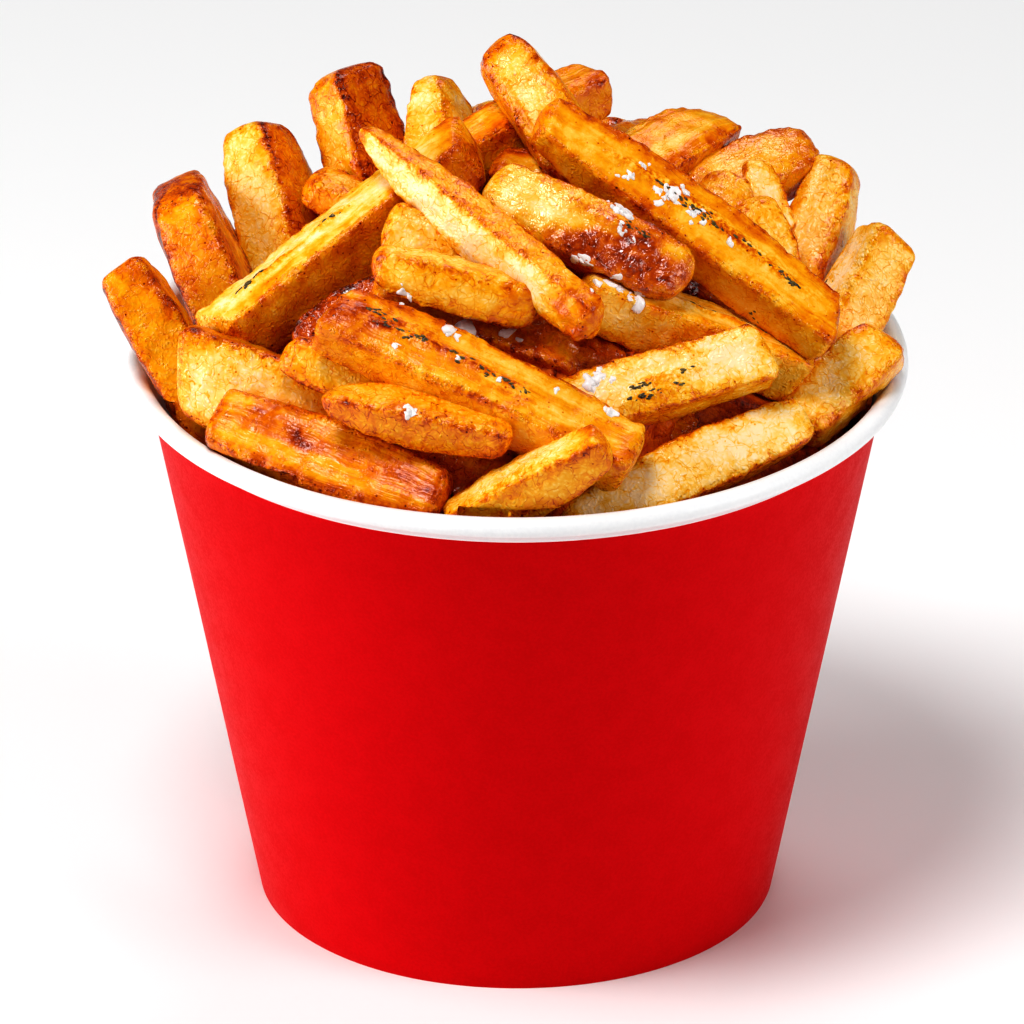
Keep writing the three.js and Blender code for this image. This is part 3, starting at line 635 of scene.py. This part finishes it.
def buildStrip(entry, rings, sides, number):
    shape = stripShape
    along, side, face = stripAxes(entry)
    length = np.linalg.norm(entry["finish"] - entry["start"])
    halfWide, halfThick = entry["wide"] / 2, entry["thick"] / 2
    rng = np.random.default_rng(400 + number)
    across, up, stops = sectionPoints(entry["square"], entry["wide"], entry["thick"], sides)
    place = ringPlaces(length, rings, entry["round"])
    share = place / length
    toEnd = np.minimum(place, length - place)
    power = shape["endSquare"]
    rounding = (1 - np.clip(1 - toEnd / entry["round"], 0, 1) ** power) ** (1 / power)

    def taper(distance, tip):
        return tip + (1 - tip) * np.sin(np.minimum(1, distance / shape["taperReach"]) * math.pi / 2)

    narrow = np.minimum(taper(share, entry["tips"][0]), taper(1 - share, entry["tips"][1])) * rounding
    bowSide, bowFace = rng.uniform(-1, 1, 2) * shape["bow"]
    arch = 4 * share * (1 - share) - shape["sag"]
    twist = np.radians(rng.uniform(-1, 1) * shape["twist"] * (share - 0.5) * 2)[:, None]
    wedge = 1 + rng.uniform(-1, 1) * shape["wedge"] * up
    a = (across * wedge)[None, :] * narrow[:, None] * halfWide
    u = up[None, :] * narrow[:, None] * halfThick
    turnedA = a * np.cos(twist) - u * np.sin(twist) + (bowSide * arch)[:, None]
    turnedU = a * np.sin(twist) + u * np.cos(twist) + (bowFace * arch)[:, None]
    nearEnds = smoothStep(shape["askewReach"], 0, np.stack([place, length - place]))
    tilts = rng.uniform(-1, 1, (2, 2)) * shape["askew"]
    slant = (entry["slant"] + tilts[:, 0]) @ nearEnds
    rise = tilts[:, 1] @ nearEnds
    x = place[:, None] + slant[:, None] * a + rise[:, None] * u
    grid = entry["start"] + along * x[..., None] + side * turnedA[..., None] + face * turnedU[..., None]

    # how far each point is, in millimetres, from the nearest long edge, and what face it is on
    inSide, inFace = halfWide * (1 - abs(across)), halfThick * (1 - abs(up))
    fromEdge = np.maximum(inSide, inFace)
    fromEdge = fromEdge - fromEdge.min()
    onFace = smoothStep(-0.8, 0.8, inSide - inFace)
    edge = smoothStep(shape["edgeReach"], 0.1, fromEdge)[None, :] * smoothStep(0, 3, toEnd)[:, None]
    capEdge = smoothStep(0.5, 0.85, rounding) * smoothStep(1.0, 0.93, rounding)
    edge = np.maximum(edge, 0.8 * capEdge[:, None])
    rim = smoothStep(shape["rimReach"], 0.3, fromEdge)[None, :]
    rim = np.maximum(rim, 0.7 * smoothStep(6, 1, toEnd)[:, None])
    end = smoothStep(shape["endReach"], 0.5, toEnd)[:, None] * np.ones(sides)
    cut = onFace[None, :] * (1 - 0.7 * smoothStep(4, 0, toEnd))[:, None]
    # the face and side tones carry some painted light and shade along with the browning
    faceTone = entry["tone"] + 0.06 * (up < 0)
    sideTone = np.where(across > 0, entry["sides"][0], entry["sides"][1])
    tone = np.broadcast_to(onFace * faceTone + (1 - onFace) * sideTone, x.shape)
    grain = np.stack([x, np.broadcast_to(stops, x.shape), np.full(x.shape, 37.0 * number)], axis=-1)

    # relief: swells and lumps all over, ridges along the edges, fibres and a seed line on the cut face
    seed = 11 * number
    local = np.stack([x, turnedA, turnedU], axis=-1)
    relief = shape["swell"] * softNoise(local / shape["swellSize"] + 5, seed + 1)
    relief += shape["lump"] * layeredNoise(local / shape["lumpSize"], seed + 2, 2)
    relief += shape["ridge"] * edge * softNoise(local / shape["ridgeSize"], seed + 3)
    relief += shape["lip"] * (smoothStep(3.2, 0.6, fromEdge)[None, :] - 0.6) * cut
    fibrePlace = np.stack([x / shape["grooveLength"], turnedA / shape["grooveWidth"], turnedU / 30], axis=-1)
    fibre = softNoise(fibrePlace, seed + 4)
    relief += shape["groove"] * fibre * cut
    onTop = smoothStep(0.4, 0.8, up)[None, :]
    vein = np.zeros(x.shape)
    for at, first, last, count in entry["seeds"]:
        within = smoothStep(first - 0.08, first + 0.05, share) * smoothStep(last + 0.08, last - 0.05, share)
        line = at + 0.05 * np.sin(x / 7 + number)
        vein += np.exp(-((across[None, :] - line) / shape["seedLine"]) ** 2) * onTop * within[:, None]
    relief -= shape["seedGroove"] * np.minimum(vein, 1)
    vein = np.minimum(vein + 0.6 * smoothStep(0.1, 0.75, -fibre) * cut * onTop, 1.2)

    # browned places shrivel: sharp folds that the oil makes shine
    burn = np.zeros(x.shape)
    fromTop = np.clip(0.9 - up[None, :], 0, 2) * halfThick * 0.4
    for at, atAcross, size, strength in entry["spots"]:
        sideways = (across[None, :] - atAcross) * halfWide
        distance = np.sqrt((x - at * length) ** 2 + sideways ** 2 + fromTop ** 2)
        burn += strength * np.exp(-(distance / size) ** 2)
    folds = 1 - 2.4 * abs(softNoise(local / shape["foldSize"] + 3, seed + 5))
    folds -= abs(softNoise(local / shape["creaseSize"] + 7, seed + 6))
    relief += shape["shrivel"] * smoothStep(0.25, 0.8, burn) * (folds - 0.3)
    grid = clearOfTub(grid + gridNormals(grid) * (relief * smoothStep(0, 1.5, toEnd)[:, None])[..., None])

    # painted shade: a point is browned darker the deeper it lies under the dome, for the shade down in the
    # heap
    radius = np.hypot(grid[..., 0], grid[..., 1])
    surface = heapForm["rim"] + heapForm["rise"] * (1 - (radius / heapForm["radius"]) ** 2)
    paintedShade = smoothStep(*heapForm["deep"], surface - grid[..., 2])
    drop = shape["sag"] * (side * bowSide + face * bowFace)
    tips = clearOfTub(np.array([entry["start"] - drop, entry["finish"] - drop]))
    values = dict(edge=edge, rim=rim, end=end, cut=cut, burn=burn, paintedShade=paintedShade, tone=tone, vein=vein)
    return grid, tips, dict(values, grain=grain)


def joinStrips(kind, firstNumber):
    points, faces, values = [], [], {}
    count = 0
    for number, entry in enumerate(kind["strips"], firstNumber):
        grid, tips, own = buildStrip(entry, kind["rings"], kind["sides"], number)
        formPoints, formFaces = closedForm(grid, *tips)
        points.append(formPoints)
        faces += shifted(formFaces, count)
        count += len(formPoints)
        for key, value in own.items():  # a tip takes the value of the ring beside it
            flat = value.reshape(-1, *value.shape[2:])
            values.setdefault(key, []).append(np.concatenate([flat, value[:1, 0], value[-1:, 0]]))
    attributes = {key: np.concatenate(value) for key, value in values.items()}
    points = np.vstack(points)
    return makePiece(kind["name"], points, faces, attributes), points, faces


# Strips that lie under the ones that show, all over the core, so that gaps look into more food.
underLayer = dict(count=46, seed=5, length=(42, 66), wide=13, thick=11, sink=2.5, spread=66, reach=72)
coreForm = dict(shoulder=122, radius=77, top=172, clearance=1.5, rings=60, sides=120, relief=2.2)


def coreHeight(radius):
    return coreForm["top"] - (coreForm["top"] - coreForm["shoulder"]) * (radius / coreForm["radius"]) ** 2


def makeUnderStrips():
    rng = np.random.default_rng(underLayer["seed"])
    strips = []
    for k in range(underLayer["count"]):
        radius = underLayer["spread"] * math.sqrt((k + 0.5) / underLayer["count"])
        angle = k * math.pi * (3 - math.sqrt(5))
        middle = np.array([radius * math.cos(angle), radius * math.sin(angle)])
        heading = rng.uniform(0, math.pi)
        step = np.array([math.cos(heading), math.sin(heading)]) * rng.uniform(*underLayer["length"]) / 2
        ends = []
        for x, y in (middle - step, middle + step):
            out = max(1, math.hypot(x, y) / underLayer["reach"])
            ends.append((x / out, y / out, coreHeight(math.hypot(x, y) / out) - underLayer["sink"]))
        roll, tone = rng.uniform(-30, 30), rng.uniform(0.38, 0.56)
        strips.append(strip(*ends, underLayer["wide"], underLayer["thick"], roll, (0.8, 0.8), tone))
    return dict(name="underStrips", rings=36, sides=24, strips=strips)


def makeCore():
    radius, shoulder = coreForm["radius"], coreForm["shoulder"]
    shares = np.linspace(0, 1, coreForm["rings"])
    bottom = tub["footRecess"] + tub["discThickness"] + tub["glueGap"]
    baseRadius = cupInner(bottom) - coreForm["clearance"]
    profile = [(baseRadius * s, bottom) for s in shares[1::6]]
    profile += [(baseRadius + (radius - baseRadius) * s, bottom + (shoulder - bottom) * s)
                for s in shares[1::2]]
    profile += [(radius * (1 - s), coreHeight(radius * (1 - s))) for s in shares[1:-1]]
    grid = turnedGrid(profile, coreForm["sides"])
    lumps = layeredNoise(grid / 9, 77, 3) * coreForm["relief"] * smoothStep(95, 118, grid[..., 2])
    grid = grid + gridNormals(grid) * (lumps - 0.5)[..., None]
    points, faces = closedForm(grid, (0, 0, bottom), (0, 0, coreForm["top"]))
    # painted shade: the whole core is browned as at rims and as deep as can be, so the gaps into it look dark
    plain = dict(edge=0.2, rim=1, end=0, cut=0, vein=0, burn=0.1, paintedShade=1, tone=0.55)
    attributes = {key: np.full(len(points), float(value)) for key, value in plain.items()}
    return makePiece("heapCore", points, faces, dict(attributes, grain=points))


def turnedGrid(profile, sides, nudge=None):  # rows of the profile, turned about +Z
    turn = np.arange(sides) / sides * 2 * math.pi
    profile = np.array(profile, float)
    radius = profile[:, :1] * np.ones(sides)
    height = profile[:, 1:] * np.ones(sides)
    if nudge is not None:
        moveOut, moveUp = nudge(np.broadcast_to(turn, radius.shape), height)
        radius = radius + moveOut
        height = height + moveUp
    return np.stack([radius * np.cos(turn), radius * np.sin(turn), height], axis=-1)


stripKinds = [goldenStrips, paleStrips, brownStrips, backStrips, makeUnderStrips()]
allStrips, allPoints, allFaces = [], [], []
for kind in stripKinds:
    piece, points, faces = joinStrips(kind, len(allStrips))
    material = makeFriedMaterial(kind["name"] + "Fried", friedLooks[kind["name"]])
    dress(piece, "root", ["plantain_heap"], material)
    allFaces += shifted(faces, sum(len(p) for p in allPoints))
    allPoints.append(points)
    allStrips += kind["strips"]
    print(kind["name"], len(kind["strips"]), "strips,", len(faces), "faces")
coreMaterial = makeFriedMaterial("coreFried", friedLooks["underStrips"])
dress(makeCore(), "root", ["plantain_heap"], coreMaterial)
surfaceTree = BVHTree.FromPolygons([Vector(p) for p in np.vstack(allPoints)], allFaces)


def roundBead(rows, columns):  # a unit ball as a small grid, with its two poles
    tilt = math.pi * np.arange(1, rows)[:, None] / rows * np.ones(columns)
    turn = np.arange(columns) / columns * 2 * math.pi
    grid = np.stack([np.cos(tilt), np.sin(tilt) * np.cos(turn), np.sin(tilt) * np.sin(turn)], axis=-1)
    points, faces = closedForm(grid, (1, 0, 0), (-1, 0, 0))
    return points, [face[::-1] for face in faces]


def turnedForm(form, centre, first, normal):  # a small form laid on a surface
    return centre + form[:, :1] * first + form[:, 1:2] * np.cross(normal, first) + form[:, 2:] * normal


def joinForms(name, forms, faces):  # forms of one kind as one piece
    count = len(forms[0])
    joined = [tuple(count * k + i for i in face) for k in range(len(forms)) for face in faces]
    return makePiece(name, np.vstack(forms), joined)


seedLook = dict(length=1.15, width=0.6, height=0.42, sink=0.04, scatter=0.06, each=1.7, clump=1.6, lean=0.3,
                sizes=(0.4, 1.35), uneven=0.35, light=srgb(96, 78, 20), dark=srgb(38, 26, 8))


def makeSeeds():
    look = seedLook
    rng = np.random.default_rng(21)
    bead, beadFaces = roundBead(6, 8)
    forms = []
    for entry in allStrips:
        along, side, face = stripAxes(entry)
        length = np.linalg.norm(entry["finish"] - entry["start"])
        for across, first, last, count in entry["seeds"]:
            count = round(count * look["each"])
            clumps = np.sort(rng.uniform(first, last, max(2, count // 5)))
            for k in range(count):
                share = clumps[k * len(clumps) // count] + rng.normal(0, look["clump"] / length)
                offset = across + 0.05 * math.sin(share * length / 7) + rng.normal(0, look["scatter"])
                origin = (entry["start"] + along * share * length + side * offset * entry["wide"] / 2
                          + face * (entry["thick"] / 2 + 4))
                hit, normal, _, _ = surfaceTree.ray_cast(Vector(origin), Vector(-face), 10)
                if hit is None:
                    continue
                normal = np.array(normal)
                lean = rng.normal(0, look["lean"])
                heading = along * math.cos(lean) + side * math.sin(lean)
                heading -= normal * (heading @ normal)
                heading /= np.linalg.norm(heading)
                size = np.array([look["length"], look["width"], look["height"]]) / 2
                form = bead * size * rng.uniform(*look["sizes"])
                form = form * (1 + look["uneven"] * softNoise(bead * 1.3 + 9 * k, 31)[:, None])
                forms.append(turnedForm(form, np.array(hit) + normal * look["sink"], heading, normal))
    return joinForms("plantainSeeds", forms, beadFaces)


def makeSeedMaterial():
    material, tree, shader = newMaterial("seedSkin", {"IOR": 1.45, "Coat Weight": 0.4, "Coat Roughness": 0.2})
    place = placeOf(tree)
    shade = noiseAt(tree, place, 0.9, 2.0)
    connect(tree, shader, {
        "Base Color": blendColour(tree, remap(tree, shade, 0.35, 0.65), seedLook["dark"], seedLook["light"]),
        "Roughness": remap(tree, shade, 0.3, 0.7, 0.35, 0.6),
        "Normal": bumpOf(tree, noiseAt(tree, place, 4.0, 2.0), 0.0002, 0.5),
    })
    return material


# Salt crystals: the middle and the width of each.
saltCrystals = dict(name="saltCrystals", seed=8, crystals=[
    (29, -16.5, 188.5, 2.4), (26, -19.5, 188, 2.4), (32.5, -21, 184.5, 2.4), (36, -20, 183.5, 3.2),
    (38.5, -18, 183.5, 2), (32.5, -23.5, 183, 2), (36.5, -22, 182, 2), (40, -23, 179.5, 2.4),
    (42, -22, 179.5, 1.8), (42.5, -24.5, 178, 1.4), (22.5, -30.5, 184.5, 2.8), (24.5, -31, 184, 3.4),
    (23.5, -35.5, 182, 2.4), (26.5, -37, 179.5, 1.2), (48.5, -26.5, 174, 2), (14, -40, 173.5, 4.2),
    (20.5, -41, 171, 3.2), (23, -42, 170, 2), (27.5, -41.5, 168, 2.4), (25.5, -43.5, 167.5, 1.8),
    (27.5, -43.5, 166.5, 2.6), (17, -52.5, 174, 1.2), (-26, -49.5, 172, 2.6), (-15, -56, 166, 2.8),
    (-11.5, -48, 162.5, 4), (-2, -47, 161, 3), (-27.5, -62, 165, 2), (-13.5, -63, 162, 2),
    (-4, -66.5, 158.5, 1.4), (-23.5, -72.5, 154, 2.8), (9, -65.5, 155.5, 1.8), (16.5, -59.5, 154.5, 3.4),
    (18.5, -58.5, 155, 2.8), (21.5, -58.5, 154.5, 1.8), (22, -68, 151.5, 2.4), (74.5, 16.5, 153.5, 1.4),
])


saltLook = dict(cuts=11, cutDepth=(0.45, 0.8), uneven=0.1, sink=0.18, main=1.55, mainFlat=(0.35, 0.55),
                clusterFrom=2.2, bits=4, bitReach=0.42, bitSizes=(0.4, 1.1), bitFlat=0.5,
                light=srgb(253, 246, 244), dark=srgb(246, 234, 230))


def crystalForm(rng, bead, flat):  # a chunk with facets: a ball cut back by random planes
    form = bead.copy()
    for _ in range(saltLook["cuts"]):
        normal = rng.normal(size=3)
        normal /= np.linalg.norm(normal)
        over = np.maximum(form @ normal - rng.uniform(*saltLook["cutDepth"]), 0)
        form -= over[:, None] * normal
    return form * np.array([rng.uniform(0.95, 1.25), rng.uniform(0.7, 1.0), flat])


def makeSalt():
    look = saltLook
    rng = np.random.default_rng(saltCrystals["seed"])
    bead, beadFaces = roundBead(14, 18)
    forms = []

    def addCrystal(place, width, flat):
        hit, normal, _, _ = surfaceTree.find_nearest(Vector(place))
        normal = np.array(normal)
        first = np.cross(normal, rng.normal(size=3))
        first /= np.linalg.norm(first)
        form = crystalForm(rng, bead, flat) * width / 2
        rough = layeredNoise(form * 3 / width + len(forms), 51, 2)
        form = form + look["uneven"] * width * rough[:, None] * bead
        forms.append(turnedForm(form, np.array(hit) + normal * width * flat * look["sink"], first, normal))

    for x, y, z, width in saltCrystals["crystals"]:
        place = np.array([x, y, z], float)
        addCrystal(place, width * look["main"], rng.uniform(*look["mainFlat"]))
        for _ in range(look["bits"] if width > look["clusterFrom"] else 0):  # a big crystal is a cluster
            near = place + rng.normal(size=3) * width * look["bitReach"]
            addCrystal(near, width * rng.uniform(*look["bitSizes"]), look["bitFlat"])
    return joinForms(saltCrystals["name"], forms, beadFaces)


def makeSaltMaterial():
    material, tree, shader = newMaterial("seaSalt", {
        "Subsurface Weight": 0.4, "Subsurface Radius": (1.0, 0.85, 0.8), "Subsurface Scale": 0.001,
        "IOR": 1.54,
    })
    place = placeOf(tree)
    cloud = noiseAt(tree, place, 0.8, 3.0)
    connect(tree, shader, {
        "Base Color": blendColour(tree, remap(tree, cloud, 0.3, 0.7), saltLook["light"], saltLook["dark"]),
        "Roughness": remap(tree, cloud, 0.3, 0.7, 0.3, 0.5),
        "Normal": bumpOf(tree, noiseAt(tree, place, 3.0, 3.0), 0.0003, 0.4),
    })
    return material


dress(makeSeeds(), "root", ["plantain_heap"], makeSeedMaterial())
dress(makeSalt(), "root", ["plantain_heap"], makeSaltMaterial())
print("seeds and salt made")


def lineBetween(first, last, count):
    first, last = np.array(first), np.array(last)
    return [tuple(first + (last - first) * k / count) for k in range(count)]


cupLook = dict(sides=288, wallSteps=34, rollSteps=30, rollTurn=(-100, 180), rimWave=0.12)


def makeCup():
    roll, steps = tub["rimRoll"], cupLook["wallSteps"]
    turns = np.radians(np.linspace(*cupLook["rollTurn"], cupLook["rollSteps"] + 1))
    profile = lineBetween((cupOuter(0), 0), (cupOuter(shoulderHeight), shoulderHeight), steps)
    profile += [(tub["rimRadius"] - roll + roll * math.cos(t), tub["height"] - roll + roll * math.sin(t))
                for t in turns]
    profile += lineBetween((cupInner(shoulderHeight), shoulderHeight - roll), (cupInner(0), 0), steps)
    profile.append((cupInner(0), 0))

    def nudge(turn, height):
        wave = 0.5 * np.sin(2 * turn + 0.7) + 0.3 * np.sin(5 * turn + 2) + 0.2 * np.sin(11 * turn)
        reach = cupLook["rimWave"] * smoothStep(100, tub["height"], height)
        return -abs(wave) * reach, -0.1 * (1 - np.cos(3 * turn + 1)) * reach

    grid = turnedGrid(profile, cupLook["sides"], nudge)
    return makePiece("boardCup", grid.reshape(-1, 3), gridFaces(*grid.shape[:2], wrapRows=True))


# The wrap: its overlap is at the back, and its wall bulges a little.
wrapLook = dict(sides=288, wallSteps=48, seamAngle=math.radians(78), seamStep=0.3, seamSharp=0.006,
                seamFade=1.2, bulge=0.12, bulgeHeight=55, bulgeTurns=1.6, inset=0.15, footBevel=(0.12, 0.25))


def seamNudge(turn):  # the wall steps out where its overlap begins and fades back round the tub
    past = np.mod(turn - wrapLook["seamAngle"], 2 * math.pi)
    sharp, fade = wrapLook["seamSharp"], wrapLook["seamFade"]
    return wrapLook["seamStep"] * (smoothStep(0, sharp, past) - smoothStep(sharp, fade, past))


def makeWrap():
    top, steps, thickness = shoulderHeight - tub["glueGap"], wrapLook["wallSteps"], tub["wrapThickness"]
    bevelIn, bevelUp = wrapLook["footBevel"]
    corners = [
        (wallRadius(0) - bevelIn, 0, 2), (wallRadius(0), bevelUp, steps), (wallRadius(top), top, 2),
        (wallRadius(top) - thickness, top, steps), (wallRadius(0) - thickness, 0, 2),
    ]
    profile = []
    for (radius, height, count), after in zip(corners, corners[1:] + corners[:1]):
        profile += lineBetween((radius, height), after[:2], count)

    def nudge(turn, height):
        turns, up = wrapLook["bulgeTurns"], height / wrapLook["bulgeHeight"]
        bulges = softNoise(np.stack([np.cos(turn) * turns, np.sin(turn) * turns, up], axis=-1), 3)
        return seamNudge(turn) - wrapLook["inset"] + wrapLook["bulge"] * bulges, 0

    grid = turnedGrid(profile, wrapLook["sides"], nudge)
    return makePiece("redWrap", grid.reshape(-1, 3), gridFaces(*grid.shape[:2], wrapRows=True))


# The bottom disc, a little dished, let in above the foot.
baseLook = dict(sides=160, dish=0.35, rise=6, lip=0.6)


def makeBase():
    bottom, thickness = tub["footRecess"], tub["discThickness"]
    dish, lip = bottom + baseLook["dish"], baseLook["lip"]
    top = bottom + thickness
    reach = cupInner(bottom) - tub["glueGap"]
    profile = lineBetween((2, dish), (reach - baseLook["rise"], dish), 24)
    profile += lineBetween((reach - baseLook["rise"], dish), (reach - lip, bottom), 8)
    profile += [(reach - lip, bottom), (reach, bottom + lip / 2), (reach, top - lip / 3),
                (reach - lip / 2, top)]
    profile += lineBetween((reach - 1, top), (2, top), 20)
    grid = turnedGrid(profile, baseLook["sides"])
    return makePiece("baseDisc", *closedForm(grid, (0, 0, dish), (0, 0, top)))


def makePaperMaterial(name, look):
    material, tree, shader = newMaterial(name, {"Specular IOR Level": look["shine"]})
    paper = useGroup(tree, paperGroup, {"Place": placeOf(tree), "Size": look["grain"]})
    connect(tree, shader, {
        "Base Color": blendColour(tree, paper["Mottle"], look["light"], look["dark"]),
        "Roughness": remap(tree, paper["Mottle"], 0.0, 1.0, *look["rough"]),
        "Normal": bumpOf(tree, paper["Height"], look["relief"], 0.35),
    })
    return material


redPaper = dict(light=srgb(214, 2, 18), dark=srgb(205, 1, 13), grain=0.7, rough=(0.42, 0.55), shine=0.05,
                relief=0.00008)
whiteBoard = dict(light=srgb(246, 246, 246), dark=srgb(240, 240, 241), grain=0.9, rough=(0.35, 0.45),
                  shine=0.4, relief=0.00004)

whiteMaterial = makePaperMaterial("whiteBoard", whiteBoard)
dress(makeCup(), "root", ["cup"], whiteMaterial)
dress(makeWrap(), "root", ["outer_wrap"], makePaperMaterial("redPaper", redPaper))
dress(makeBase(), "root", ["base_disc"], whiteMaterial)
print("tub made")


# The studio, in metres and watts.
studioLights = dict(
    keyLight=dict(place=(-0.31, -0.45, 1.47), size=0.55, power=10),
    leftLight=dict(place=(-1.15, -0.25, 0.38), size=0.8, power=8.4),
    rightLight=dict(place=(1.0, -0.5, 0.55), size=0.7, power=4.8),
    topLight=dict(place=(0.1, 0.8, 1.25), size=0.7, power=4.2),
)
studio = dict(lightAim=(0, 0, 0.13), worldLight=0.04, backdrop=1.0, floorReach=6, floorShade=0.92)
photoCamera = dict(aim=(-1.06, 0, 92.86), elevation=26, distance=4827, lens=736.5, sensor=36)


def makeFloor():
    reach, shade = studio["floorReach"], studio["floorShade"]
    mesh = bpy.data.meshes.new("studioFloor")
    corners = [(-reach, -reach, 0), (reach, -reach, 0), (reach, reach, 0), (-reach, reach, 0)]
    mesh.from_pydata(corners, [], [(0, 1, 2, 3)])
    floor = bpy.data.objects.new("studioFloor", mesh)
    bpy.context.scene.collection.objects.link(floor)
    material, _, _ = newMaterial("paleFloor", {"Base Color": (shade, shade, shade, 1), "Roughness": 0.9,
                                               "Specular IOR Level": 0.1})
    mesh.materials.append(material)


def addAreaLight(name, look):
    light = bpy.data.lights.new(name, "AREA")
    light.shape = "DISK"
    light.size = look["size"]
    light.energy = look["power"]
    lamp = bpy.data.objects.new(name, light)
    lamp.location = look["place"]
    aim = Vector(studio["lightAim"]) - Vector(look["place"])
    lamp.rotation_euler = aim.to_track_quat("-Z", "Y").to_euler()
    bpy.context.scene.collection.objects.link(lamp)


def makeWorld():  # dim as a light, white where the camera sees it
    world = bpy.data.worlds.new("studioWorld")
    bpy.context.scene.world = world
    world.use_nodes = True
    tree = world.node_tree
    sight = addNode(tree, "ShaderNodeLightPath").outputs["Is Camera Ray"]
    strength = remap(tree, sight, 0.0, 1.0, studio["worldLight"], studio["backdrop"], "LINEAR")
    connect(tree, tree.nodes["Background"].inputs, {"Color": (1, 1, 1, 1), "Strength": strength})


def makeCamera():
    look = photoCamera
    camera = bpy.data.cameras.new("photoCamera")
    camera.lens = look["lens"]
    camera.sensor_width = look["sensor"]
    camera.clip_end = 100
    holder = bpy.data.objects.new("photoCamera", camera)
    tilt = math.radians(look["elevation"])
    back = Vector((0, -math.cos(tilt), math.sin(tilt)))
    holder.location = (Vector(look["aim"]) + back * look["distance"]) * mm
    holder.rotation_euler = (-back).to_track_quat("-Z", "Y").to_euler()
    bpy.context.scene.collection.objects.link(holder)
    bpy.context.scene.camera = holder


makeFloor()
for name, look in studioLights.items():
    addAreaLight(name, look)
makeWorld()
makeCamera()
bpy.context.scene.view_settings.view_transform = "Standard"
bpy.context.scene.view_settings.look = "High Contrast"
print("studio made")
